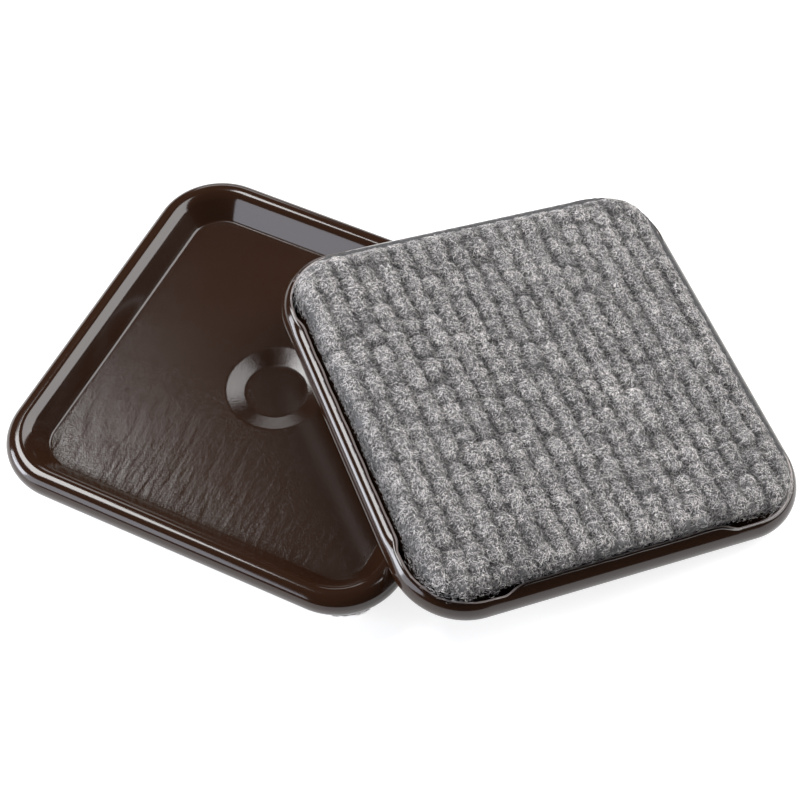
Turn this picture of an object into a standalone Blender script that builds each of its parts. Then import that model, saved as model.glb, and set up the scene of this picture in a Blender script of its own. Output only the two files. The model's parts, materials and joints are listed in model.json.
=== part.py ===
"""A pair of square furniture cups with carpeted undersides.

Each cup is a shallow moulded tray whose floor takes a furniture leg or a
caster, with a ribbed carpet pad bonded underneath so that it slides on a hard
floor.  The first cup stands upright.  The second is turned over, carpet side
up, and leans on the first cup's rim.

Metres, +Z up.  The axes run along the upright cup's sides.  The origin is at
the centre of the pair's bounding box, on the floor.
"""
import math

import bmesh
import bpy
from mathutils import Matrix, Vector

# The tray's outline
SIDE = 0.0825                  # across the bead at its widest
CORNER_RADIUS = 0.0134         # outer corner radius, at the widest
HEIGHT = 0.0112                # from the floor it stands on to the rim's crest
WIDEST_Z = 0.0086              # height at which the bead is widest

# The bead that forms the rim
CREST_INSET = 0.00265          # crest line, in from the widest outline
CREST_RADIUS = 0.0020          # of the crest's inner half,
CREST_TURN = math.radians(25)  # through this angle,
BROW_RADIUS = 0.0040           # and from there down to the straight inner wall
WALL_SLOPE = math.radians(50)  # inner wall, from the horizontal
WALL_THICKNESS = 0.0015
CORNER_FOLLOW = 0.91           # how much of an inset also comes off the corner radius

# The floor and its dimple, which keeps a caster or a leg in the middle
FLOOR_Z = 0.0066
FLOOR_THICKNESS = 0.0012
CREASE_RADIUS = 0.0007         # fillet between floor and inner wall
DIMPLE_RADIUS = 0.0100
DIMPLE_FLAT_RADIUS = 0.0062
DIMPLE_DEPTH = 0.00105

# The lower edge: under the widest line the wall curls in, runs straight and thins out to a lip.
# A tab along each side curls far enough to hold the carpet; the corners stop sooner.
CURL_RADIUS = 0.0034
CURL_TOP_Z = 0.00841
TAB_TURN = math.radians(60)
TAB_RUN = 0.0011
CORNER_TURN = math.radians(40)
CORNER_RUN = 0.0005
LIP_THICKNESS = 0.0006
TAB_STEPS = (0.82, 0.90, 0.99)  # the tab's end, as fractions of a side's straight half

# The carpet pad under the floor, in three layers
GAP = 0.0003                   # between bonded layers
FILM_THICKNESS = 0.00026
FILM_HALF = 0.0336
FILM_HOLE_RADIUS = 0.0114
BACKING_THICKNESS = 0.0014
PAD_HALF = 0.0378
PAD_CORNER_RADIUS = 0.0095
POCKET_RADIUS = 0.0113         # the backing is pressed in under the dimple
POCKET_FLAT_RADIUS = 0.0076
PILE_SHOULDER = 0.0004         # the pile stands in from the backing's edge
PILE_EDGE_ROUND = 0.0014

# How the second cup lies
LEAN_CENTRE = (0.04682, 0.01793)  # centre of its rim plane, from the upright cup's centre
LEAN_CENTRE_Z = 0.00784
LEAN_TURN = math.radians(47.56)
LEAN_SLOPE = (-0.1480, -0.0582)  # rise of its rim plane along X and along Y

# Facets
CORNER_FACETS = 6
ARC_FACETS = 4

COLOURS = {
    "tray": ((0.035, 0.018, 0.014, 1.0), 0.16),
    "film": ((0.62, 0.58, 0.45, 1.0), 0.45),
    "backing": ((0.10, 0.10, 0.11, 1.0), 0.85),
    "pile": ((0.22, 0.22, 0.23, 1.0), 0.95),
}


def clear_scene():
    for thing in list(bpy.data.objects):
        bpy.data.objects.remove(thing, do_unlink=True)


def make_material(name):
    colour, roughness = COLOURS[name]
    material = bpy.data.materials.new(name)
    material.use_nodes = True
    shader = material.node_tree.nodes["Principled BSDF"]
    shader.inputs["Base Color"].default_value = colour
    shader.inputs["Roughness"].default_value = roughness
    shader.inputs["Metallic"].default_value = 0.0
    return material


def smooth_step(t):
    t = min(max(t, 0.0), 1.0)
    return t * t * (3.0 - 2.0 * t)


def side_fractions():
    """Places along a side's straight stretch, from -1 at one corner to 1 at the next."""
    right = [0.0, *TAB_STEPS]
    left = [-t for t in reversed(TAB_STEPS)]
    return left + right


def square_ring(half, radius):
    """A rounded square as a list of (x, y, tab), with tab 1 along a side and 0 at a corner."""
    ring = []
    straight = half - radius
    for quarter in range(4):
        turn = Matrix.Rotation(quarter * math.pi / 2, 2)
        side = []
        for t in side_fractions():
            tab = 1.0 - smooth_step((abs(t) - TAB_STEPS[0]) / (TAB_STEPS[-1] - TAB_STEPS[0]))
            side.append((Vector((half, t * straight)), tab))
        for step in range(CORNER_FACETS + 1):
            angle = step / CORNER_FACETS * math.pi / 2
            corner = Vector((math.cos(angle), math.sin(angle))) * radius
            side.append((Vector((straight, straight)) + corner, 0.0))
        ring += [(turn @ point, tab) for point, tab in side]
    return [(point.x, point.y, tab) for point, tab in ring]


def tray_ring(inset, z):
    """A ring of the tray, in from its widest outline."""
    ring = square_ring(SIDE / 2 - inset, CORNER_RADIUS - CORNER_FOLLOW * inset)
    return [Vector((x, y, z)) for x, y, _ in ring]


def curl_ring(share, depth, run=0.0):
    """A ring of the lower edge, that far along its curl and its run and that far under its face."""
    tabs = [tab for _, _, tab in square_ring(SIDE / 2, CORNER_RADIUS)]
    reach = CURL_RADIUS - depth
    ends = []
    for turn, length in ((CORNER_TURN * share, CORNER_RUN * run), (TAB_TURN * share, TAB_RUN * run)):
        ends.append(tray_ring(CURL_RADIUS - reach * math.cos(turn) + length * math.sin(turn),
                              CURL_TOP_Z - reach * math.sin(turn) - length * math.cos(turn)))
    return [corner.lerp(side, tab) for corner, side, tab in zip(*ends, tabs)]


def pad_ring(half, radius, z):
    return [Vector((x, y, z)) for x, y, _ in square_ring(half, radius)]


def round_ring(radius, z):
    """A circle with the same number of points as the square rings, in matching directions."""
    ring = []
    for x, y, _ in square_ring(SIDE / 2, CORNER_RADIUS):
        direction = Vector((x, y)).normalized() * radius
        ring.append(Vector((direction.x, direction.y, z)))
    return ring


def arc(centre_inset, centre_z, radius_in, radius_z, start, end):
    """Points (inset, z) on an ellipse, with angles in degrees: 90 is up, 180 is outwards."""
    points = []
    for step in range(ARC_FACETS + 1):
        angle = math.radians(start + (end - start) * step / ARC_FACETS)
        points.append((centre_inset + radius_in * math.cos(angle),
                       centre_z + radius_z * math.sin(angle)))
    return points


def loft(name, rings, material, closed_tube=False):
    """Skin the rings in order; the two ends are capped, or joined when the body is a tube."""
    mesh = bmesh.new()
    loops = [[mesh.verts.new(point) for point in ring] for ring in rings]
    pairs = list(zip(loops, loops[1:]))
    if closed_tube:
        pairs.append((loops[-1], loops[0]))
    for lower, upper in pairs:
        for i in range(len(lower)):
            j = (i + 1) % len(lower)
            mesh.faces.new((lower[i], lower[j], upper[j], upper[i]))
    if not closed_tube:
        mesh.faces.new(loops[0])
        mesh.faces.new(loops[-1])
    bmesh.ops.triangulate(mesh, faces=mesh.faces[:])
    bmesh.ops.recalc_face_normals(mesh, faces=mesh.faces[:])
    data = bpy.data.meshes.new(name)
    mesh.to_mesh(data)
    mesh.free()
    data.materials.append(material)
    data.shade_smooth()
    data.set_sharp_from_angle(angle=math.radians(32))
    thing = bpy.data.objects.new(name, data)
    bpy.context.scene.collection.objects.link(thing)
    return thing


def crest_point(turned, depth=0.0):
    """(inset, z) on the crest's inner half, or under it, where it has turned that far."""
    inset, z = CREST_INSET, HEIGHT
    split = min(turned, CREST_TURN)
    for radius, start, end in ((CREST_RADIUS, 0.0, split), (BROW_RADIUS, split, turned)):
        inset += radius * (math.sin(end) - math.sin(start))
        z += radius * (math.cos(end) - math.cos(start))
    return inset - depth * math.sin(turned), z - depth * math.cos(turned)


def inner_wall():
    """The rim's inner side as (inset, z): fillet from the floor, sloping wall and crest."""
    crest = [crest_point(WALL_SLOPE * step / 4) for step in (4, 3, 2, 1, 0)]
    top_inset, top_z = crest[0]
    crease_inset = top_inset + (top_z - FLOOR_Z) / math.tan(WALL_SLOPE)
    reach = CREASE_RADIUS * math.tan(WALL_SLOPE / 2)
    fillet = [(crease_inset + reach, FLOOR_Z),
              (crease_inset, FLOOR_Z + 0.25 * reach),
              (crease_inset - reach * math.cos(WALL_SLOPE), FLOOR_Z + reach * math.sin(WALL_SLOPE))]
    return fillet + crest


def outer_bead():
    """The bead's outer side as (inset, z), from the crest down to the widest line."""
    return arc(CREST_INSET, WIDEST_Z, CREST_INSET, HEIGHT - WIDEST_Z, 90, 180)[1:]


def channel():
    """The hollow under the bead as (inset, z), from the outer wall over to the floor."""
    roof = arc(CREST_INSET, WIDEST_Z, CREST_INSET - WALL_THICKNESS,
               HEIGHT - WIDEST_Z - WALL_THICKNESS, 180, 90)
    brow = [crest_point(turned, WALL_THICKNESS) for turned in (CREST_TURN, WALL_SLOPE)]
    inset, z = brow[-1]
    under_z = FLOOR_Z - FLOOR_THICKNESS
    return roof + brow + [(inset + (z - under_z) / math.tan(WALL_SLOPE), under_z)]


def make_tray(name, material):
    under_z = FLOOR_Z - FLOOR_THICKNESS
    spread = FLOOR_THICKNESS * 0.4
    rings = [round_ring(DIMPLE_FLAT_RADIUS, FLOOR_Z - DIMPLE_DEPTH),
             round_ring((DIMPLE_FLAT_RADIUS + DIMPLE_RADIUS) / 2, FLOOR_Z - DIMPLE_DEPTH * 0.55),
             round_ring(DIMPLE_RADIUS, FLOOR_Z)]
    rings += [tray_ring(inset, z) for inset, z in inner_wall() + outer_bead()]
    rings += [curl_ring(step / 4, 0.0) for step in (1, 2, 3, 4)]
    rings += [curl_ring(1.0, 0.0, 1.0), curl_ring(1.0, LIP_THICKNESS, 1.0)]
    for step in (4, 3, 2, 1):
        thinning = (WALL_THICKNESS - LIP_THICKNESS) * step / 4
        rings.append(curl_ring(step / 4, WALL_THICKNESS - thinning))
    rings += [tray_ring(inset, z) for inset, z in channel()]
    rings += [round_ring(DIMPLE_RADIUS + spread, under_z),
              round_ring(DIMPLE_FLAT_RADIUS + spread, under_z - DIMPLE_DEPTH)]
    return loft(name, rings, material)


def film_top():
    return FLOOR_Z - FLOOR_THICKNESS - GAP


def backing_top():
    return film_top() - FILM_THICKNESS - GAP


def pile_top():
    return backing_top() - BACKING_THICKNESS - GAP


def make_film(name, material):
    low = film_top() - FILM_THICKNESS
    corner = PAD_CORNER_RADIUS - (PAD_HALF - FILM_HALF)
    rings = [round_ring(FILM_HOLE_RADIUS, low), pad_ring(FILM_HALF, corner, low),
             pad_ring(FILM_HALF, corner, film_top()), round_ring(FILM_HOLE_RADIUS, film_top())]
    return loft(name, rings, material, closed_tube=True)


def make_backing(name, material):
    dimple_low = FLOOR_Z - FLOOR_THICKNESS - DIMPLE_DEPTH
    rings = [pad_ring(PAD_HALF, PAD_CORNER_RADIUS, backing_top() - BACKING_THICKNESS),
             pad_ring(PAD_HALF, PAD_CORNER_RADIUS, backing_top()),
             round_ring(POCKET_RADIUS, backing_top()),
             round_ring(POCKET_FLAT_RADIUS, dimple_low - GAP)]
    return loft(name, rings, material)


def make_pile(name, material):
    half = PAD_HALF - PILE_SHOULDER
    corner = PAD_CORNER_RADIUS - PILE_SHOULDER
    rings = []
    for step in range(ARC_FACETS + 1):
        angle = math.pi / 2 * step / ARC_FACETS
        inward = PILE_EDGE_ROUND * (1.0 - math.sin(angle))
        rings.append(pad_ring(half - inward, corner - inward,
                              PILE_EDGE_ROUND * (1.0 - math.cos(angle))))
    rings.append(pad_ring(half, corner, pile_top()))
    return loft(name, rings, material)


def make_cup(prefix, materials):
    """One cup in its own frame: centred, standing on its carpet at z = 0."""
    parent = bpy.data.objects.new(prefix + "_place", None)
    bpy.context.scene.collection.objects.link(parent)
    pieces = [make_tray(prefix + "_tray", materials["tray"]),
              make_film(prefix + "_adhesive_film", materials["film"]),
              make_backing(prefix + "_carpet_backing", materials["backing"]),
              make_pile(prefix + "_carpet_pile", materials["pile"])]
    for piece in pieces:
        piece.parent = parent
    return parent, pieces


def leaning_place():
    """Turn the cup over about its rim plane, turn it about Z, lean it and set it down."""
    normal = Vector((-LEAN_SLOPE[0], -LEAN_SLOPE[1], 1.0)).normalized()
    lean = Vector((0.0, 0.0, 1.0)).rotation_difference(normal).to_matrix().to_4x4()
    turn_over = Matrix.Rotation(math.pi, 4, "Y") @ Matrix.Translation((0.0, 0.0, -HEIGHT))
    return (Matrix.Translation((*LEAN_CENTRE, LEAN_CENTRE_Z)) @ lean
            @ Matrix.Rotation(LEAN_TURN, 4, "Z") @ turn_over)


def centre_on_floor(parents, pieces):
    """Move the pair so that its bounding box is centred on the origin, with its base at z = 0."""
    bpy.context.view_layer.update()
    corners = [piece.matrix_world @ vertex.co for piece in pieces for vertex in piece.data.vertices]
    low = Vector([min(corner[axis] for corner in corners) for axis in range(3)])
    high = Vector([max(corner[axis] for corner in corners) for axis in range(3)])
    shift = Vector((-(low.x + high.x) / 2, -(low.y + high.y) / 2, -low.z))
    for parent in parents:
        parent.matrix_world = Matrix.Translation(shift) @ parent.matrix_world


def main():
    clear_scene()
    materials = {name: make_material(name) for name in COLOURS}
    upright, upright_pieces = make_cup("upright_cup", materials)
    leaning, leaning_pieces = make_cup("leaning_cup", materials)
    leaning.matrix_world = leaning_place()
    centre_on_floor([upright, leaning], upright_pieces + leaning_pieces)


main()
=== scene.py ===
"""The looks of a pair of square carpet-bottomed furniture cups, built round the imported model.

Each cup is modelled once in its own axes: centred, standing on its carpet at z = 0, open side
up.  The upright cup is moved into place, and the leaning cup is turned over and set on its rim.
Everything is in metres.
"""

import json
import math

import bpy
import numpy as np
from mathutils import Matrix, Vector


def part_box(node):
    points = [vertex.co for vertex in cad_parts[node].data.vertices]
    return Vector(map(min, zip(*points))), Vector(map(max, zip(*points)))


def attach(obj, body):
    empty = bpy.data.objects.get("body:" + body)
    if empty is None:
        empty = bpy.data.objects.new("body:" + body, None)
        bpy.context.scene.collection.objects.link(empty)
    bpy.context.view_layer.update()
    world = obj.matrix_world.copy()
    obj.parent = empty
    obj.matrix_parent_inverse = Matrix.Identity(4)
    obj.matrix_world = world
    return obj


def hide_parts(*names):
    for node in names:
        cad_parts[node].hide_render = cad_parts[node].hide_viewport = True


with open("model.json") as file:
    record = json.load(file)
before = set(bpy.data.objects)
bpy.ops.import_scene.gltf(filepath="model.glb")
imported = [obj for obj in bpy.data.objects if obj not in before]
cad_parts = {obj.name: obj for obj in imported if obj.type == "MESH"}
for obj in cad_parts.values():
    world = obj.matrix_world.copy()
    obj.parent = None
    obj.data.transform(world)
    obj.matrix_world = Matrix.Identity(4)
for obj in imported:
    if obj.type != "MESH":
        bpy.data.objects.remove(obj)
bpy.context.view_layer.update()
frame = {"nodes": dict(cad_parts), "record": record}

MM = 0.001

# The tray's section: insets are measured in from the widest outline
TRAY_LOW, TRAY_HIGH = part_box("upright_cup_tray")
SIDE = TRAY_HIGH.x - TRAY_LOW.x
HEIGHT = TRAY_HIGH.z
CORNER_RADIUS = 13.4 * MM
CORNER_FOLLOW = 0.91            # how much of an inset also comes off the corner radius
WIDEST_Z = 8.6 * MM
CREST_INSET = 2.65 * MM
CREST_RADIUS = 2.0 * MM         # of the inner half of the crest,
CREST_TURN = 25                 # for this many degrees,
BROW_RADIUS = 4.0 * MM          # and from there down to the straight wall
WALL_SLOPE = 50                 # inner wall, in degrees from the floor's plane
WALL_THICKNESS = 1.5 * MM
FLOOR_Z = 6.6 * MM
FLOOR_THICKNESS = 1.2 * MM
CREASE_RADIUS = 0.7 * MM
DIMPLE_RADIUS = 10.0 * MM
DIMPLE_FLAT_RADIUS = 6.2 * MM
DIMPLE_DEPTH = 1.05 * MM
DIMPLE_BRIM = 0.12              # share of its slope that is rounded over into the floor
UNDER_DIMPLE_RADII = (10.4 * MM, 8.4 * MM, 6.7 * MM)   # brim, half way and flat, from below
AROUND_DIMPLE = 11.0 * MM       # radius at which the floor's rings start to turn square

# The tray's lower edge: under the widest line the wall curls in, runs straight and bends over
# into a thin lip.  Each curl is its radius, the height it starts at, how far it turns, the
# straight run, how far the lip has turned in all, and the lip's length.
CORNER_CURL = (3.4 * MM, 8.41 * MM, math.radians(38), 0.3 * MM, math.radians(74), 0.25 * MM)
TAB_CURL = (3.4 * MM, 8.41 * MM, math.radians(58), 0.45 * MM, math.radians(91), 0.32 * MM)
TIGHT_TAB_CURL = (2.4 * MM, 8.3 * MM, math.radians(76), 0.0, math.radians(80), 0.4 * MM)
TIGHT_TAB_SIDE = 0              # the +X side
BEND_RADIUS = 0.7 * MM
LIP_THICKNESS = 0.55 * MM
TAB_ENDS = ((-24.0, 25.5), (-24.5, 25.0), (-26.0, 27.0), (-21.5, 22.5))  # mm from the middle
TAB_STEP = 4.6 * MM             # length over which a tab's end runs out
TAB_FLARE = 0.8 * MM            # the lip is longer at the tabs' ends
RUN_RIPPLE = 0.07 * MM
LIP_FLASH = 0.25 * MM           # most that a nick of flash stands out of the lip
LIP_RINGS = (23, 10)            # the first ring of the lip's end among the edge's, and how many
HAZY_FILLET_RINGS = 3           # the floor's haze runs on over so many rings of its fillet

# The carpet pad's backing
BACKING_HALF = 38.2 * MM
BACKING_CORNER_RADIUS = 10.2 * MM
BACKING_TOP_Z = 4.54 * MM
FRAY = 0.10 * MM
POCKET_RADIUS = 11.3 * MM
POCKET_FLAT_RADIUS = 7.6 * MM
POCKET_Z = 3.8 * MM

# Its pile, whose face is down
PILE_HALF = 37.5 * MM
PILE_CORNER_RADIUS = 7.4 * MM
PILE_SHIFT = (0.9 * MM, -1.1 * MM, 0.0)   # the turned-over cup's pile isn't quite centred
PILE_TOP_Z = 3.0 * MM           # where it meets its backing
TIP_Z = 0.35 * MM               # the tufts' tips, under their loose fibres
RIB_PITCH = 4.05 * MM
TUFT_PITCH = 2.9 * MM
TUFT_DEPTH = 0.85 * MM          # from a tuft's tip up to the valley beside it
TUFT_HALF_WIDTH = (0.46, 0.58)  # of the rib's pitch
TUFT_HALF_LENGTH = (0.58, 0.95)  # of the tufts' pitch
TUFT_HEIGHT = (0.62, 1.0)       # of the depth
TUFT_REACH = 1.4                # how far its shade spreads, in half sizes,
TUFT_FADE = 3.0                 # and how fast that fades
TUFT_SIDESTEP = 0.22 * MM       # scatter across the rib,
TUFT_SLIP = 0.2                 # and along it, as a share of the tufts' pitch
RIB_SWELL = 0.15                # a rib's own height under its tufts, as a share of the depth
RIBS = round(2 * PILE_HALF / RIB_PITCH)
TUFT_ROWS = round(2 * PILE_HALF / TUFT_PITCH)
EDGE_ROLL = 3.0 * MM            # how far in its edge is rounded over,
EDGE_DROP = 2.1 * MM            # and by how much in all
EDGE_RAGGED = 0.3 * MM
RELIEF_CELL = 0.2 * MM
RELIEF_MARGIN = 2.0 * MM
PILE_GRID = 250                 # cells along each side of its face

# The fibres over the pile
FIBRE_SETS = 6
FIBRES_EACH = 24000
FIBRE_SIDES = 3
FIBRE_LENGTH = (0.35 * MM, 0.9 * MM)
FIBRE_RADIUS = (0.032 * MM, 0.050 * MM)
FIBRE_TAPER = (1.0, 0.7)        # of the radius, at its two ends
FIBRE_LOFT = (0.02 * MM, 0.24 * MM)   # how far it stands off the tufts,
FIBRE_ARCH = (0.2, 0.8)         # as shares at its two ends,
LOOSE_ARCH = (-0.2, 1.6)        # and for the loose ones,
LOOSE_SHARE = 0.08              # which are so many of them
FIBRE_SCATTER = 0.03 * MM
FIBRE_LOWEST = 0.06 * MM        # clear of what the pad stands on
EDGE_FIBRES = 3200              # of each set, out of the pile's rolled edge
EDGE_HANG = 1.7 * MM            # how far the lowest of them lie over the backing's side
EDGE_PROUD = 0.4 * MM           # how far they stand out of the edge,
FRAY_PROUD = 1.3 * MM           # and the lowest where no tab holds them in

LEAN_TURN = math.radians(47.56)  # the turned-over cup's turn about its own axis

# The view
CAMERA_PLACE = Vector((114.42, -176.72, 301.80)) * MM   # from the upright cup's place
CAMERA_TURN = math.radians(26.47)
CAMERA_DOWN = math.radians(55.07)
CAMERA_ROLL = math.radians(0.755)
LENS = 83.51
SENSOR = 36.0
LENS_SHIFT = (0.00323, -0.0012)
CLIP = (0.01, 100.0)


# ---------------------------------------------------------------- places

def mount(name):
    return next(m for m in frame["record"]["mounts"] if m["name"] == name)


def upright_place():
    return Matrix.Translation(mount("upright_carpet_face")["pos_m"])


def leaning_place():
    """The turned-over cup: its carpet faces up along the mount's axis."""
    face = mount("leaning_carpet_face")
    lean = Vector((0.0, 0.0, 1.0)).rotation_difference(Vector(face["axis"])).to_matrix().to_4x4()
    turn = Matrix.Rotation(LEAN_TURN, 4, "Z")
    return Matrix.Translation(face["pos_m"]) @ lean @ turn @ Matrix.Rotation(math.pi, 4, "Y")


PLACES = {"upright_cup": upright_place(), "leaning_cup": leaning_place()}


# ---------------------------------------------------------------- mesh helpers

def smooth_step(t):
    t = np.clip(t, 0.0, 1.0)
    return t * t * (3.0 - 2.0 * t)


def mesh_from(name, points, *face_sets):
    """A mesh from an (n, 3) array of points and arrays of faces, each (m, corners)."""
    mesh = bpy.data.meshes.new(name)
    indices = np.concatenate([faces.ravel() for faces in face_sets]).astype(np.int32)
    sizes = np.concatenate([np.full(len(faces), faces.shape[1]) for faces in face_sets])
    starts = np.concatenate([[0], np.cumsum(sizes)[:-1]]).astype(np.int32)
    mesh.vertices.add(len(points))
    mesh.vertices.foreach_set("co", np.ascontiguousarray(points, np.float32).ravel())
    mesh.loops.add(len(indices))
    mesh.loops.foreach_set("vertex_index", indices)
    mesh.polygons.add(len(starts))
    mesh.polygons.foreach_set("loop_start", starts)
    mesh.update(calc_edges=True)
    mesh.shade_smooth()
    return mesh


def fan_faces(ring, centre):
    """Triangles from a ring's points to one centre point."""
    return np.stack([ring, np.roll(ring, -1), np.full(len(ring), centre)], -1)


def ring_faces(rings, count):
    """Quads between successive closed rings of count points."""
    ring, point = np.meshgrid(np.arange(rings - 1), np.arange(count), indexing="ij")
    after = (point + 1) % count
    quads = np.stack([ring * count + point, ring * count + after,
                      (ring + 1) * count + after, (ring + 1) * count + point], -1)
    return quads.reshape(-1, 4)


def add_attribute(mesh, name, values):
    layer = mesh.attributes.new(name, "FLOAT", "POINT")
    layer.data.foreach_set("value", np.asarray(values, np.float32).ravel())


def place_piece(name, mesh, body, material, shift=(0.0, 0.0, 0.0)):
    piece = bpy.data.objects.new(name, mesh)
    bpy.context.scene.collection.objects.link(piece)
    piece.matrix_world = PLACES[body] @ Matrix.Translation(shift)
    mesh.materials.clear()
    mesh.materials.append(material)
    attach(piece, body)
    return piece


# ---------------------------------------------------------------- outline

STRAIGHT_POINTS = 108
CORNER_POINTS = 26
RING_POINTS = 4 * (STRAIGHT_POINTS + CORNER_POINTS)


class Outline:
    """A rounded square's points, with each one's side, place along that side and direction."""

    def __init__(self):
        side, along, turn = [], [], []
        for quarter in range(4):
            for step in range(STRAIGHT_POINTS):
                side.append(quarter)
                along.append(-1.0 + 2.0 * step / STRAIGHT_POINTS)
                turn.append(0.0)
            for step in range(CORNER_POINTS):
                side.append(quarter)
                along.append(1.0)
                turn.append(math.pi / 2 * step / CORNER_POINTS)
        self.side = np.array(side)
        self.along = np.array(along)
        self.turn = np.array(turn)

    def ring(self, half, radius):
        """(n, 2) points; half and radius may each be one number or one for each point."""
        straight = half - radius
        x = straight + radius * np.cos(self.turn)
        y = self.along * straight + radius * np.sin(self.turn)
        angle = self.side * (math.pi / 2)
        return np.stack([x * np.cos(angle) - y * np.sin(angle),
                         x * np.sin(angle) + y * np.cos(angle)], -1)

    def tab(self):
        """1 where a side's tab stands, 0 at the corners, with a soft run-out between."""
        straight = SIDE / 2 - CORNER_RADIUS
        place = self.along * straight
        ends = np.array(TAB_ENDS)[self.side] * MM
        rise = smooth_step((place - ends[:, 0]) / TAB_STEP + 0.5)
        fall = smooth_step((ends[:, 1] - place) / TAB_STEP + 0.5)
        return np.where(self.turn > 0.0, 0.0, rise * fall)

    def distance(self):
        """Distance run round the outline, for waviness that joins up with itself."""
        points = self.ring(SIDE / 2, CORNER_RADIUS)
        steps = np.linalg.norm(np.roll(points, -1, 0) - points, axis=1)
        return np.concatenate([[0.0], np.cumsum(steps)[:-1]]), steps.sum()


OUTLINE = Outline()


def wave(seed, shortest, longest, terms=9):
    """A smooth random line round the outline, about -1 to 1, with waves of those lengths."""
    rng = np.random.default_rng(seed)
    run, total = OUTLINE.distance()
    line = np.zeros(RING_POINTS)
    for _ in range(terms):
        turns = round(total / rng.uniform(shortest, longest))
        line += np.sin(2 * math.pi * turns * run / total + rng.uniform(0, 2 * math.pi))
    return line / math.sqrt(terms)


# ---------------------------------------------------------------- tray

def arc(centre, radii, start, end, steps):
    """Points (inset, z) on an ellipse, with angles in degrees: 90 is up, 180 is outwards."""
    return [(centre[0] + radii[0] * math.cos(angle), centre[1] + radii[1] * math.sin(angle))
            for angle in np.radians(np.linspace(start, end, steps + 1))]


def crest_point(turned, depth=0.0):
    """(inset, z) on the crest's inner half, or under it, where it has turned that many degrees."""
    inset, z = CREST_INSET, HEIGHT
    split = min(turned, CREST_TURN)
    for radius, start, end in ((CREST_RADIUS, 0, split), (BROW_RADIUS, split, turned)):
        start, end = math.radians(start), math.radians(end)
        inset += radius * (math.sin(end) - math.sin(start))
        z += radius * (math.cos(end) - math.cos(start))
    turned = math.radians(turned)
    return inset - depth * math.sin(turned), z - depth * math.cos(turned)


def upper_section():
    """(inset, z) from the floor's edge up the inner wall, over the crest to the widest line."""
    slope = math.radians(WALL_SLOPE)
    crest = [crest_point(turned) for turned in np.linspace(WALL_SLOPE, 0, 19)]
    top_inset, top_z = crest[0]
    crease = top_inset + (top_z - FLOOR_Z) / math.tan(slope)
    reach = CREASE_RADIUS * math.tan(slope / 2)
    fillet = arc((crease + reach, FLOOR_Z + CREASE_RADIUS), (CREASE_RADIUS,) * 2,
                 270, 270 - WALL_SLOPE, 6)
    wall = [(fillet[-1][0] + (top_inset - fillet[-1][0]) * t,
             fillet[-1][1] + (top_z - fillet[-1][1]) * t) for t in (0.25, 0.5, 0.75)]
    bead = arc((CREST_INSET, WIDEST_Z), (CREST_INSET, HEIGHT - WIDEST_Z), 90, 180, 16)
    return fillet + wall + crest + bead[1:]


def lift(points, z):
    return np.concatenate([points, np.broadcast_to(z, len(points))[:, None]], 1)


def tray_ring(inset, z):
    inset = np.broadcast_to(inset, RING_POINTS)
    return lift(OUTLINE.ring(SIDE / 2 - inset, CORNER_RADIUS - CORNER_FOLLOW * inset), z)


def edge_rings():
    """Rings down the outer wall, round its curl and thin lip, and back up inside."""
    tab = OUTLINE.tab()
    tight = np.where(OUTLINE.side == TIGHT_TAB_SIDE, tab, 0.0)
    radius, top, turn, run, lip_turn, length = (
        corner + (even - corner) * tab + (bent - even) * tight
        for corner, even, bent in zip(CORNER_CURL, TAB_CURL, TIGHT_TAB_CURL))
    run = run + RUN_RIPPLE * wave(seed=3, shortest=5 * MM, longest=30 * MM)
    flash = wave(seed=8, shortest=1.2 * MM, longest=2.6 * MM, terms=14)
    flash = np.clip(flash - 1.3, 0.0, 1.0)         # only the highest crests stand out
    length = length + TAB_FLARE * tab * (1.0 - tab)

    def curl_ring(share, depth, straight=0.0, bend=0.0, beyond=0.0):
        """Part way round the curl, along the run, round the bend and along the lip."""
        angle = turn * share
        final = angle + (lip_turn - turn) * bend
        inset = radius - (radius - depth) * np.cos(angle) + run * straight * np.sin(angle)
        z = top - (radius - depth) * np.sin(angle) - run * straight * np.cos(angle)
        inset = inset + (BEND_RADIUS - depth) * (np.cos(angle) - np.cos(final))
        z = z - (BEND_RADIUS - depth) * (np.sin(final) - np.sin(angle))
        return tray_ring(inset + beyond * np.sin(final), z - beyond * np.cos(final))

    rings = [curl_ring(share, 0.0) for share in np.linspace(0.0, 1.0, 15)]
    rings += [curl_ring(1.0, 0.0, t) for t in (0.5, 1.0)]
    rings += [curl_ring(1.0, 0.0, 1.0, t) for t in (0.2, 0.4, 0.6, 0.8, 1.0)]
    rings += [curl_ring(1.0, 0.0, 1.0, 1.0, length * t) for t in (0.5, 1.0)]
    for angle in np.radians(np.linspace(0, 180, 9)[1:]):
        across = LIP_THICKNESS / 2 * (1.0 - math.cos(angle))
        beyond = (LIP_THICKNESS / 2 + LIP_FLASH * flash) * math.sin(angle)
        rings.append(curl_ring(1.0, across, 1.0, 1.0, length + beyond))
    rings += [curl_ring(1.0, LIP_THICKNESS, t, t) for t in (1.0, 0.5)]
    for share in np.linspace(1.0, 0.0, 6):
        depth = WALL_THICKNESS + (LIP_THICKNESS - WALL_THICKNESS) * share
        rings.append(curl_ring(share, depth))
    return rings


def channel_rings():
    """Rings round the hollow under the bead, over to the floor's underside."""
    roof = arc((CREST_INSET, WIDEST_Z),
               (CREST_INSET - WALL_THICKNESS, HEIGHT - WIDEST_Z - WALL_THICKNESS), 180, 90, 6)
    brow = [crest_point(turned, WALL_THICKNESS) for turned in (CREST_TURN, WALL_SLOPE)]
    under_z = FLOOR_Z - FLOOR_THICKNESS
    inset, z = brow[-1]
    slope = [(inset + (z - under_z) * t / math.tan(math.radians(WALL_SLOPE)),
              z + (under_z - z) * t) for t in (0.5, 1.0)]
    return [tray_ring(inset, z) for inset, z in roof + brow + slope]


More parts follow.
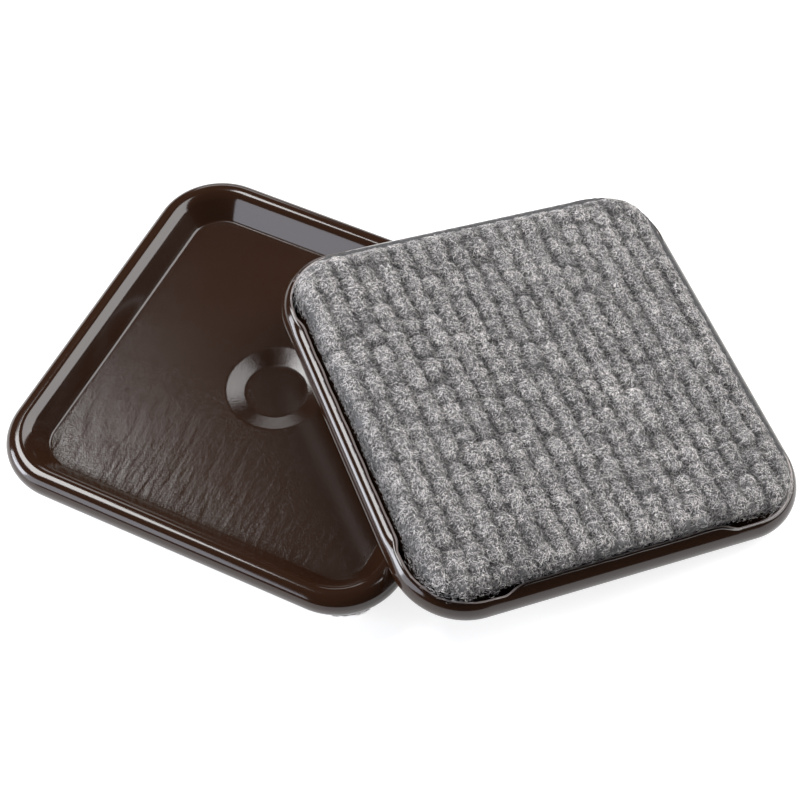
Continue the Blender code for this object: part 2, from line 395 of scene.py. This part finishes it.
def round_ring(radius, z):
    flat = OUTLINE.ring(SIDE / 2, CORNER_RADIUS)
    return lift(flat / np.linalg.norm(flat, axis=1)[:, None] * radius, z)


def dimple_z(radius):
    """The floor's height at that radius: a flat bottom, a cone and a softly rounded brim."""
    t = (radius - DIMPLE_FLAT_RADIUS) / (DIMPLE_RADIUS - DIMPLE_FLAT_RADIUS)
    rise = min(max(t, 0.0), 1.0)
    if rise > 1.0 - DIMPLE_BRIM:
        rise -= (rise - 1.0 + DIMPLE_BRIM) ** 2 / (2 * DIMPLE_BRIM)
    return FLOOR_Z - DIMPLE_DEPTH * (1.0 - rise / (1.0 - DIMPLE_BRIM / 2))


def floor_rings():
    """From the dimple's middle out to the floor's edge."""
    flat = np.linspace(1.0 * MM, 5.5 * MM, 4)
    slope = np.linspace(DIMPLE_FLAT_RADIUS - 0.1 * MM, DIMPLE_RADIUS + 0.2 * MM, 29)
    rings = [round_ring(radius, dimple_z(radius)) for radius in np.concatenate([flat, slope])]
    edge = tray_ring(*upper_section()[0])
    inner = round_ring(AROUND_DIMPLE, FLOOR_Z)
    rings += [inner + (edge - inner) * t for t in np.linspace(0.0, 1.0, 18)[:-1]]
    return rings


def capped_mesh(name, rings, points):
    """Rings joined up, with fans from the first ring to the last point but one, and from the
    last ring to the last point.
    """
    first = np.arange(RING_POINTS)
    last = first + (len(rings) - 1) * RING_POINTS
    return mesh_from(name, points, ring_faces(len(rings), RING_POINTS),
                     fan_faces(first, len(points) - 2)[:, ::-1], fan_faces(last, len(points) - 1))


def make_tray_mesh():
    floor = floor_rings()
    upper = [tray_ring(inset, z) for inset, z in upper_section()]
    lower = edge_rings() + channel_rings()
    under_z = FLOOR_Z - FLOOR_THICKNESS
    under = [round_ring(radius, under_z - DIMPLE_DEPTH * share)
             for radius, share in zip(UNDER_DIMPLE_RADII, (0.0, 0.5, 1.0))]
    rings = np.array(floor + upper + lower + under)
    points = np.concatenate([rings.reshape(-1, 3),
                             [[0.0, 0.0, dimple_z(0.0)], [0.0, 0.0, under_z - DIMPLE_DEPTH]]])
    mesh = capped_mesh("tray", rings, points)
    on_floor = np.zeros(len(points))
    on_floor[:(len(floor) + HAZY_FILLET_RINGS) * RING_POINTS] = 1.0
    on_floor[-2] = 1.0
    add_attribute(mesh, "on_floor", on_floor)
    on_lip = np.zeros(len(points))
    first = len(floor) + len(upper) + LIP_RINGS[0]
    on_lip[first * RING_POINTS:(first + LIP_RINGS[1]) * RING_POINTS] = 1.0
    add_attribute(mesh, "on_lip", on_lip)
    return mesh


# ---------------------------------------------------------------- carpet

def tufts(seed=11):
    """The tufts, rib by rib along Y: centre (x, y), half sizes, height and shade of each."""
    rng = np.random.default_rng(seed)
    table = []
    for rib in range(RIBS):
        x = (rib + 0.5) * (2 * PILE_HALF / RIBS) - PILE_HALF
        slip = rng.uniform(0.0, 1.0)
        for row in range(-1, TUFT_ROWS + 1):
            y = (row + slip + rng.normal(0.0, TUFT_SLIP)) * TUFT_PITCH - PILE_HALF
            table.append((x + rng.normal(0.0, TUFT_SIDESTEP), y,
                          rng.uniform(*TUFT_HALF_WIDTH) * RIB_PITCH,
                          rng.uniform(*TUFT_HALF_LENGTH) * TUFT_PITCH,
                          rng.uniform(*TUFT_HEIGHT), rng.normal(0.0, 1.0)))
    return np.array(table)


TUFTS = tufts()


def value_noise(x, y, cell, seed):
    """Smooth noise from -1 to 1 on a square lattice of that cell."""
    size = 256
    lattice = np.random.default_rng(seed).uniform(-1.0, 1.0, (size, size))
    u, v = x / cell + size / 2, y / cell + size / 2
    i, j = np.floor(u).astype(int), np.floor(v).astype(int)
    fu, fv = smooth_step(u - i), smooth_step(v - j)
    i, j, after_i, after_j = i % size, j % size, (i + 1) % size, (j + 1) % size
    return ((lattice[i, j] * (1 - fu) + lattice[after_i, j] * fu) * (1 - fv)
            + (lattice[i, after_j] * (1 - fu) + lattice[after_i, after_j] * fu) * fv)


def pile_relief(x, y):
    """Height over the valleys, about 0 to 1, and the tufts' shade, at each point of the pile."""
    height = np.zeros(len(x))
    shade = np.zeros(len(x))
    weight = np.full(len(x), 1e-6)
    for cx, cy, rx, ry, tall, tone in TUFTS:
        near = np.nonzero((np.abs(x - cx) < TUFT_REACH * rx) & (np.abs(y - cy) < TUFT_REACH * ry))
        d2 = ((x[near] - cx) / rx) ** 2 + ((y[near] - cy) / ry) ** 2
        bump = tall * np.sqrt(np.clip(1.0 - d2, 0.0, 1.0))
        height[near] = np.maximum(height[near], bump)
        share = np.exp(-TUFT_FADE * d2)
        shade[near] += share * tone
        weight[near] += share
    rib = 0.5 - 0.5 * np.cos(2 * math.pi * RIBS * (x + PILE_HALF) / (2 * PILE_HALF))
    soft = (0.10 * value_noise(x, y, cell=1.1 * MM, seed=1)
            + 0.07 * value_noise(x, y, cell=0.55 * MM, seed=2))
    return np.clip(height + RIB_SWELL * rib + soft, 0.0, 1.15), shade / weight


def depth_inside(x, y, half, radius):
    """How far each point lies inside a rounded square."""
    qx, qy = np.abs(x) - (half - radius), np.abs(y) - (half - radius)
    outside = np.hypot(np.maximum(qx, 0.0), np.maximum(qy, 0.0))
    return radius - outside - np.minimum(np.maximum(qx, qy), 0.0)


RELIEF_CELLS = round(2 * (PILE_HALF + RELIEF_MARGIN) / RELIEF_CELL)
RELIEF_START = -RELIEF_CELL * RELIEF_CELLS / 2


def relief_map():
    """The pile's height and shade on a square lattice, to look up."""
    line = RELIEF_START + RELIEF_CELL * np.arange(RELIEF_CELLS + 1)
    x, y = np.meshgrid(line, line, indexing="ij")
    height, tone = pile_relief(x.ravel(), y.ravel())
    return height.reshape(x.shape), tone.reshape(x.shape)


RELIEF, TONES = relief_map()


def look_up(table, x, y):
    """The value there in a table on the relief map's lattice."""
    u = np.clip((x - RELIEF_START) / RELIEF_CELL, 0.0, RELIEF_CELLS - 1e-6)
    v = np.clip((y - RELIEF_START) / RELIEF_CELL, 0.0, RELIEF_CELLS - 1e-6)
    i, j = u.astype(int), v.astype(int)
    fu, fv = u - i, v - j
    return ((table[i, j] * (1 - fu) + table[i + 1, j] * fu) * (1 - fv)
            + (table[i, j + 1] * (1 - fu) + table[i + 1, j + 1] * fu) * fv)


def pile_z(x, y):
    """The pile's face: tufts' tips near z = 0, grooves above them, the edge rolled upwards."""
    roll = np.clip(1.0 - depth_inside(x, y, PILE_HALF, PILE_CORNER_RADIUS) / EDGE_ROLL, 0.0, 1.0)
    drop = EDGE_DROP * (1.0 - np.sqrt(1.0 - roll ** 2))
    return TIP_Z + TUFT_DEPTH * (1.0 - look_up(RELIEF, x, y)) * (1.0 - 0.5 * roll) + drop


def pad_grid(half, radius):
    """A square lattice bent to fill a rounded square, as (n, 2) points."""
    line = np.linspace(-1.0, 1.0, PILE_GRID + 1)
    u, v = np.meshgrid(line, line, indexing="ij")
    out = np.maximum(np.abs(u), np.abs(v))
    wide = np.abs(u) >= np.abs(v)
    t = np.where(wide, v, u) / np.maximum(out, 1e-9)
    side = np.where(wide, np.sign(u), np.sign(v))
    straight = half - radius
    run = np.abs(t) * (straight + radius * math.pi / 4)
    turn = np.clip((run - straight) / radius, 0.0, math.pi / 4)
    across = np.where(run < straight, half, straight + radius * np.cos(turn)) * side
    along = np.where(run < straight, run, straight + radius * np.sin(turn)) * np.sign(t)
    return np.stack([(np.where(wide, across, along) * out).ravel(),
                     (np.where(wide, along, across) * out).ravel()], -1)


def grid_border():
    """Indices of a square lattice's border points, in order round it."""
    index = np.arange((PILE_GRID + 1) ** 2).reshape(PILE_GRID + 1, PILE_GRID + 1)
    return np.concatenate([index[-1, :-1], index[::-1, -1][:-1], index[0, ::-1][:-1],
                           index[:, 0][:-1]])


def make_pile_mesh():
    """The ribbed pile as one closed body: face, rolled edge, side and a flat back."""
    flat = pad_grid(PILE_HALF, PILE_CORNER_RADIUS)
    x, y = flat.T
    ragged = EDGE_RAGGED * value_noise(x, y, cell=1.6 * MM, seed=7)
    near_edge = smooth_step(1.0 - depth_inside(x, y, PILE_HALF, PILE_CORNER_RADIUS) / EDGE_ROLL)
    spread = 1.0 + ragged * near_edge / PILE_HALF
    face = np.column_stack([flat * spread[:, None], pile_z(x, y)])
    border = grid_border()
    rings = [border]
    points = [face]
    count = len(face)
    for z in (PILE_TOP_Z - 0.5 * MM, PILE_TOP_Z):
        ring = face[border]
        ring[:, 2] = z
        points.append(ring)
        rings.append(count + np.arange(len(border)))
        count += len(border)
    points = np.concatenate(points + [[[0.0, 0.0, PILE_TOP_Z]]])
    n = PILE_GRID + 1
    i, j = np.meshgrid(np.arange(n - 1), np.arange(n - 1), indexing="ij")
    lattice = np.stack([i * n + j, i * n + j + 1, (i + 1) * n + j + 1, (i + 1) * n + j], -1)
    sides = [np.stack([a, np.roll(a, -1), np.roll(b, -1), b], -1) for a, b in zip(rings, rings[1:])]
    mesh = mesh_from("pile", points, lattice.reshape(-1, 4), *[s[:, ::-1] for s in sides],
                     fan_faces(rings[-1], count)[:, ::-1])
    height = look_up(RELIEF, points[:, 0], points[:, 1])
    height *= 1.0 - 0.6 * smooth_step((points[:, 2] - 1.0 * MM) / (1.6 * MM))  # painted shade: darker sides
    # painted shade: the side and back rings get the darkest value
    height[len(face):] = 0.1
    add_attribute(mesh, "height", height)
    return mesh


def edge_places(rng, count):
    """Random places round the pile's rolled edge, with the way out from each, the angle it has
    turned over the edge, and how free of the tray's tabs it is, 0 to 1.
    """
    ring = OUTLINE.ring(PILE_HALF, PILE_CORNER_RADIUS)
    steps = np.linalg.norm(np.roll(ring, -1, 0) - ring, axis=1)
    run = np.cumsum(steps)
    at = np.minimum(np.searchsorted(run, rng.uniform(0.0, run[-1], count)), len(ring) - 1)
    share = rng.random(count)[:, None]
    place = ring[at] * (1.0 - share) + np.roll(ring, -1, 0)[at] * share
    angle = (OUTLINE.side * (math.pi / 2) + OUTLINE.turn)[at]
    out = np.stack([np.cos(angle), np.sin(angle)], -1)
    turned = math.pi / 2 * np.cbrt(rng.random(count))
    place -= out * (EDGE_ROLL * (1.0 - np.sin(turned)))[:, None]
    return place, out, turned, 1.0 - OUTLINE.tab()[at]


def fibre_lines(rng, count):
    """Short straight fibres over the tufts: starts (n, 2), ends (n, 2, 3), depths 0 to 1, which set
    each fibre's painted shade.
    """
    start = rng.uniform(-PILE_HALF, PILE_HALF, (3 * count, 2))
    inside = depth_inside(start[:, 0], start[:, 1], PILE_HALF, PILE_CORNER_RADIUS) > 0.0
    start = start[inside][:count]
    length = rng.uniform(*FIBRE_LENGTH, count)
    heading = rng.uniform(0.0, 2 * math.pi, count)
    move = np.stack([np.cos(heading), np.sin(heading)], -1) * length[:, None]

    # the first of them come out of the rolled edge, lying along it
    edge = slice(EDGE_FIBRES)
    start[edge], out, turned, free = edge_places(rng, EDGE_FIBRES)
    outwards = np.sum(move[edge] * out, -1) * (1.0 - np.cos(turned))
    move[edge] -= out * outwards[:, None]
    flat = start[:, None] + move[:, None] * np.array([-0.5, 0.5])[None, :, None]
    z = pile_z(flat[..., 0].ravel(), flat[..., 1].ravel()).reshape(count, 2)
    loft = rng.uniform(*FIBRE_LOFT, count)
    low = rng.random(EDGE_FIBRES) * np.sin(turned) ** 6
    z[edge] += EDGE_HANG * low[:, None]
    proud = np.sin(turned) * rng.uniform(0.0, EDGE_PROUD, EDGE_FIBRES)
    proud += low * free * rng.uniform(0.0, FRAY_PROUD, EDGE_FIBRES)
    flat[edge] += (out * proud[:, None])[:, None]
    loft[edge] *= np.cos(turned)

    loose = rng.random(count) < LOOSE_SHARE
    arch = np.where(loose[:, None], LOOSE_ARCH, FIBRE_ARCH)
    z = z - loft[:, None] * arch + rng.normal(0.0, FIBRE_SCATTER, z.shape)
    # painted shade: the tuft height under each fibre's start, low in the grooves, darkens its
    # colour
    depth = look_up(RELIEF, start[:, 0], start[:, 1])
    depth[edge] *= 1.0 - 0.8 * low                 # painted shade: darker down the side
    return start, np.concatenate([flat, np.maximum(z, FIBRE_LOWEST)[..., None]], -1), depth


def heathered(rng, count):
    """Shades 0 to 1 of dark, mid and light fibres, mixed."""
    kind = rng.random(count)
    dark = rng.uniform(0.0, 0.22, count)
    middle = rng.uniform(0.35, 0.62, count)
    light = rng.uniform(0.66, 1.0, count)
    return np.where(kind < 0.38, dark, np.where(kind < 0.62, middle, light))


def make_fibres(name, seed, count):
    """A set of fibres as thin closed three-sided tubes of one mesh."""
    rng = np.random.default_rng(seed)
    start, centre, depth = fibre_lines(rng, count)
    along = centre[:, 1] - centre[:, 0]
    along /= np.linalg.norm(along, axis=-1)[:, None]
    across = np.cross(along, [0.0, 0.0, 1.0])
    across /= np.maximum(np.linalg.norm(across, axis=-1), 1e-9)[:, None]
    up = np.cross(across, along)
    radius = rng.uniform(*FIBRE_RADIUS, count)[:, None] * np.array(FIBRE_TAPER)
    angles = 2 * math.pi * np.arange(FIBRE_SIDES) / FIBRE_SIDES + math.pi / 2
    spokes = np.cos(angles)[:, None] * across[:, None] + np.sin(angles)[:, None] * up[:, None]
    points = centre[:, :, None] + radius[..., None, None] * spokes[:, None]
    per_fibre = 2 * FIBRE_SIDES
    first = np.arange(count)[:, None] * per_fibre + np.arange(FIBRE_SIDES)
    after = np.roll(first, -1, 1)
    sides = np.stack([first, after, after + FIBRE_SIDES, first + FIBRE_SIDES], -1)
    mesh = mesh_from(name, points.reshape(-1, 3), sides.reshape(-1, 4),
                     first[:, ::-1], first + FIBRE_SIDES)
    shade = heathered(rng, count) + 0.07 * look_up(TONES, start[:, 0], start[:, 1])
    add_attribute(mesh, "shade", np.repeat(shade, per_fibre))
    add_attribute(mesh, "depth", np.repeat(depth, per_fibre))
    return mesh


def make_backing_mesh():
    """The pad's bonded base: a slab with a slightly ragged edge and a pocket for the dimple."""
    fray = FRAY * wave(seed=21, shortest=0.9 * MM, longest=3 * MM, terms=12)
    low, high = PILE_TOP_Z + 0.05 * MM, BACKING_TOP_Z
    section = ((6.0 * MM, low), (1.5 * MM, low), (0.25 * MM, low + 0.05 * MM),
               (0.0, low + 0.3 * MM), (0.05 * MM, (low + high) / 2), (0.0, high - 0.2 * MM),
               (0.3 * MM, high), (6.0 * MM, high))
    rings = []
    for inset, z in section:
        edge = (fray if inset < 1.0 * MM else 0.0) - inset
        rings.append(lift(OUTLINE.ring(BACKING_HALF + edge, BACKING_CORNER_RADIUS + edge), z))
    rings += [round_ring(POCKET_RADIUS, high), round_ring(POCKET_FLAT_RADIUS, POCKET_Z)]
    rings = np.array(rings)
    points = np.concatenate([rings.reshape(-1, 3), [[0, 0, low], [0, 0, POCKET_Z]]])
    return capped_mesh("backing", rings, points)


# ---------------------------------------------------------------- materials

class Nodes:
    """A material's node tree, with short ways to add and join nodes."""

    def __init__(self, name):
        self.material = bpy.data.materials.new(name)
        self.material.use_nodes = True
        self.tree = self.material.node_tree
        self.shader = self.tree.nodes["Principled BSDF"]

    def add(self, kind, inputs=None, **settings):
        node = self.tree.nodes.new(kind)
        for key, value in settings.items():
            setattr(node, key, value)
        for key, value in (inputs or {}).items():
            self.put(node, key, value)
        return node

    def put(self, node, key, value):
        if isinstance(value, bpy.types.NodeSocket):
            self.tree.links.new(value, node.inputs[key])
        else:
            node.inputs[key].default_value = value

    def set(self, **inputs):
        for key, value in inputs.items():
            self.put(self.shader, key.replace("_", " "), value)

    def math(self, operation, a, b):
        return self.add("ShaderNodeMath", {0: a, 1: b}, operation=operation).outputs[0]

    def range(self, value, low, high, to_low, to_high):
        inputs = {0: value, 1: low, 2: high, 3: to_low, 4: to_high}
        return self.add("ShaderNodeMapRange", inputs).outputs[0]

    def mix(self, factor, a, b):
        return self.add("ShaderNodeMix", {0: factor, 2: a, 3: b}).outputs[0]

    def attribute(self, name):
        return self.add("ShaderNodeAttribute", attribute_name=name).outputs["Fac"]

    def place(self, scale=(1.0, 1.0, 1.0)):
        where = self.add("ShaderNodeTexCoord").outputs["Object"]
        return self.add("ShaderNodeMapping", {"Vector": where, "Scale": scale}).outputs["Vector"]

    def noise(self, scale, detail=2.0, roughness=0.5):
        """Noise with about that many waves a metre along X, Y and Z."""
        inputs = {"Vector": self.place(scale), "Scale": 1.0, "Detail": detail,
                  "Roughness": roughness}
        return self.add("ShaderNodeTexNoise", inputs).outputs["Fac"]

    def bump(self, height, distance, normal=None):
        inputs = {"Height": height, "Distance": distance, "Strength": 1.0}
        if normal:
            inputs["Normal"] = normal
        return self.add("ShaderNodeBump", inputs).outputs["Normal"]

    def ramp(self, value, stops):
        node = self.add("ShaderNodeValToRGB", {"Fac": value})
        elements = node.color_ramp.elements
        while len(elements) < len(stops):
            elements.new(0.5)
        for element, (place, colour) in zip(elements, stops):
            element.position = place
            element.color = (*colour, 1.0)
        return node.outputs["Color"]


PLASTIC = (0.019, 0.0076, 0.0036)
# painted highlight: the lip's pale colour stands for light caught along its edge
PAINTED_LIP_HIGHLIGHT = (0.34, 0.29, 0.28)
RIM_ROUGHNESS, LIP_ROUGHNESS = 0.12, 0.3
HAZE_ROUGHNESS = (0.155, 0.18)
RIBS_DEPTH = 0.13 * MM          # of the fine soft ribs imprinted in the floor
GRAIN_DEPTH = 0.028 * MM


def plastic():
    """Dark brown gloss plastic, with a painted highlight along the lip, where it is coloured paler;
    on the floor, a satin haze with the imprint of fine soft ribs, strongest towards -X and -Y.
    """
    n = Nodes("tray_plastic")
    on_floor, on_lip = n.attribute("on_floor"), n.attribute("on_lip")
    spot = n.add("ShaderNodeSeparateXYZ", {0: n.place()}).outputs
    strong = n.math("MULTIPLY", n.range(spot["Y"], -0.034, -0.004, 1.0, 0.12),
                    n.range(spot["X"], -0.02, 0.03, 1.0, 0.3))
    ribs = n.noise((680.0, 150.0, 150.0))
    grain = n.noise((3600.0, 3600.0, 3600.0), detail=3.0)
    haze = n.range(n.noise((90.0, 90.0, 90.0)), 0.3, 0.7, *HAZE_ROUGHNESS)
    roughness = n.mix(on_lip, n.mix(on_floor, RIM_ROUGHNESS, haze), LIP_ROUGHNESS)
    # painted highlight: the lip is coloured pale
    colour = n.ramp(on_lip, ((0.0, PLASTIC), (1.0, PAINTED_LIP_HIGHLIGHT)))
    imprint = n.math("MULTIPLY", ribs, n.math("MULTIPLY", strong, on_floor))
    normal = n.bump(imprint, RIBS_DEPTH)
    normal = n.bump(n.math("MULTIPLY", grain, on_floor), GRAIN_DEPTH, normal)
    n.set(Base_Color=colour, Roughness=roughness, IOR=1.5, Normal=normal)
    return n.material


def fibre():
    """Heathered grey synthetic fibre: dark, mid and light strands, with painted shade that darkens
    them in the grooves and down the pad's side.
    """
    n = Nodes("carpet_fibre")
    # painted shade: darker where the tufts are low
    painted_groove_shade = n.range(n.attribute("depth"), 0.1, 0.8, 0.60, 1.0)
    shade = n.math("MULTIPLY", n.attribute("shade"), painted_groove_shade)
    colour = n.ramp(shade, ((0.0, (0.031, 0.030, 0.030)), (0.3, (0.138, 0.130, 0.128)),
                            (0.6, (0.48, 0.455, 0.445)), (1.0, (0.95, 0.91, 0.89))))
    n.set(Base_Color=colour, Roughness=0.6, Sheen_Weight=0.15)
    return n.material


def pile():
    """The mass of fibres under the loose ones, with painted shade: darker in the grooves and down
    the sides.
    """
    n = Nodes("carpet_pile")
    fine = n.noise((3200.0, 3200.0, 3200.0), detail=3.0, roughness=0.7)
    # painted shade from the height attribute, plus a random fine tone
    value = n.math("ADD", n.range(n.attribute("height"), 0.1, 1.0, 0.10, 0.62),
                   n.range(fine, 0.3, 0.7, -0.14, 0.14))
    colour = n.ramp(value, ((0.0, (0.02, 0.02, 0.021)), (0.5, (0.10, 0.098, 0.10)),
                            (1.0, (0.30, 0.295, 0.30))))
    n.set(Base_Color=colour, Roughness=0.85, Sheen_Weight=0.2, Normal=n.bump(fine, 0.15 * MM))
    return n.material


def backing():
    """Bonded dark fibre, with its strands lying along the slab."""
    n = Nodes("carpet_backing")
    strands = n.noise((2500.0, 2500.0, 900.0), detail=3.0, roughness=0.7)
    colour = n.ramp(strands, ((0.3, (0.02, 0.02, 0.022)), (0.7, (0.09, 0.088, 0.09))))
    n.set(Base_Color=colour, Roughness=0.9, Normal=n.bump(strands, 0.2 * MM))
    return n.material


def adhesive():
    """Pale hot-melt film."""
    n = Nodes("adhesive")
    n.set(Base_Color=(0.55, 0.50, 0.38, 1.0), Roughness=0.45, Transmission_Weight=0.2)
    return n.material


# ---------------------------------------------------------------- the cups

FIRST_FIBRE_SEED = 100


def build_cups():
    tray_mesh, pile_mesh, backing_mesh = make_tray_mesh(), make_pile_mesh(), make_backing_mesh()
    fibre_meshes = [make_fibres(f"fibres_{k}", FIRST_FIBRE_SEED + k, FIBRES_EACH)
                    for k in range(FIBRE_SETS)]
    plastic_look, pile_look, backing_look = plastic(), pile(), backing()
    fibre_look, adhesive_look = fibre(), adhesive()
    for body in PLACES:
        shift = PILE_SHIFT if body == "leaning_cup" else (0.0, 0.0, 0.0)
        tray = place_piece(f"{body}_tray_shell", tray_mesh, body, plastic_look)
        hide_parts(f"{body}_tray")
        pad = place_piece(f"{body}_pile", pile_mesh, body, pile_look, shift)
        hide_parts(f"{body}_carpet_pile")
        base = place_piece(f"{body}_backing", backing_mesh, body, backing_look)
        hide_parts(f"{body}_carpet_backing")
        for k, mesh in enumerate(fibre_meshes):
            place_piece(f"{body}_fibres_{k}", mesh, body, fibre_look, shift)
        film = frame["nodes"][f"{body}_adhesive_film"]
        film.data.materials.clear()
        film.data.materials.append(adhesive_look)


# ---------------------------------------------------------------- stage, lights and camera

TARGET = Vector((0.0, 0.0, 0.008))       # what the lights are aimed at
VIEW_TURN = Matrix.Rotation(CAMERA_TURN, 3, "Z")
WHITE = (1.0, 1.0, 1.0)

# Each softbox: its name, its direction from the cups (right, away from the camera, up), its
# distance and size in metres, its power in watts and its colour
SOFTBOXES = (
    ("overhead_left", (-0.441, 0.312, 0.846), 0.80, (0.32, 0.37), 5.2, WHITE),
    ("right", (0.645, 0.345, 0.665), 0.80, (0.82, 0.66), 9.7, WHITE),
    ("left_panel", (-0.91, -0.33, 0.26), 0.80, (0.85, 0.42), 4.9, (0.86, 0.90, 1.0)),
    ("left_core", (-0.97, 0.0, 0.26), 0.78, (0.28, 0.40), 4.0, (0.90, 0.93, 1.0)),
    ("backdrop", (-0.09, 0.93, 0.30), 1.4, (0.47, 0.37), 1.3, WHITE),
)
WORLD_STRENGTH = 0.05
STAGE_HALF = 40.0


def softbox(name, towards, distance, size, power, colour):
    """An area light that faces the cups, unseen by the camera."""
    data = bpy.data.lights.new(name, "AREA")
    data.shape = "RECTANGLE"
    data.size, data.size_y = size
    data.energy = power
    data.color = colour
    light = bpy.data.objects.new(name, data)
    bpy.context.scene.collection.objects.link(light)
    direction = VIEW_TURN @ Vector(towards).normalized()
    across = VIEW_TURN @ Vector((1.0, 0.0, 0.0))
    across = (across - direction * across.dot(direction)).normalized()
    axes = Matrix((across, direction.cross(across), direction)).transposed()
    light.matrix_world = Matrix.Translation(TARGET + direction * distance) @ axes.to_4x4()
    light.visible_camera = False


def build_stage():
    """A white floor that glows a little, so that it shows as white behind the cups."""
    mesh = bpy.data.meshes.new("stage_floor")
    corners = [(x * STAGE_HALF, y * STAGE_HALF, 0.0)
               for x, y in ((-1, -1), (1, -1), (1, 1), (-1, 1))]
    mesh.from_pydata(corners, [], [(0, 1, 2, 3)])
    floor = bpy.data.objects.new("stage_floor", mesh)
    bpy.context.scene.collection.objects.link(floor)
    n = Nodes("stage_floor")
    n.set(Base_Color=(0.5, 0.5, 0.5, 1.0), Roughness=0.9, Specular_IOR_Level=0.0,
          Emission_Color=(1.0, 1.0, 1.0, 1.0), Emission_Strength=0.8)
    floor.data.materials.append(n.material)


def build_lights():
    for settings in SOFTBOXES:
        softbox(*settings)
    world = bpy.data.worlds.new("studio")
    world.use_nodes = True
    background = world.node_tree.nodes["Background"].inputs
    background["Color"].default_value = (*WHITE, 1.0)
    background["Strength"].default_value = WORLD_STRENGTH
    bpy.context.scene.world = world


def build_camera():
    data = bpy.data.cameras.new("view")
    data.lens, data.sensor_width = LENS, SENSOR
    data.shift_x, data.shift_y = LENS_SHIFT
    data.clip_start, data.clip_end = CLIP
    camera = bpy.data.objects.new("view", data)
    bpy.context.scene.collection.objects.link(camera)
    camera.location = PLACES["upright_cup"].translation + CAMERA_PLACE
    tilt = Matrix.Rotation(math.pi / 2 - CAMERA_DOWN, 3, "X")
    roll = Matrix.Rotation(-CAMERA_ROLL, 3, "Z")
    camera.rotation_euler = (VIEW_TURN @ tilt @ roll).to_euler()
    bpy.context.scene.camera = camera


build_cups()
build_stage()
build_lights()
build_camera()
bpy.context.scene.view_settings.view_transform = "Standard"

bpy.context.view_layer.update()
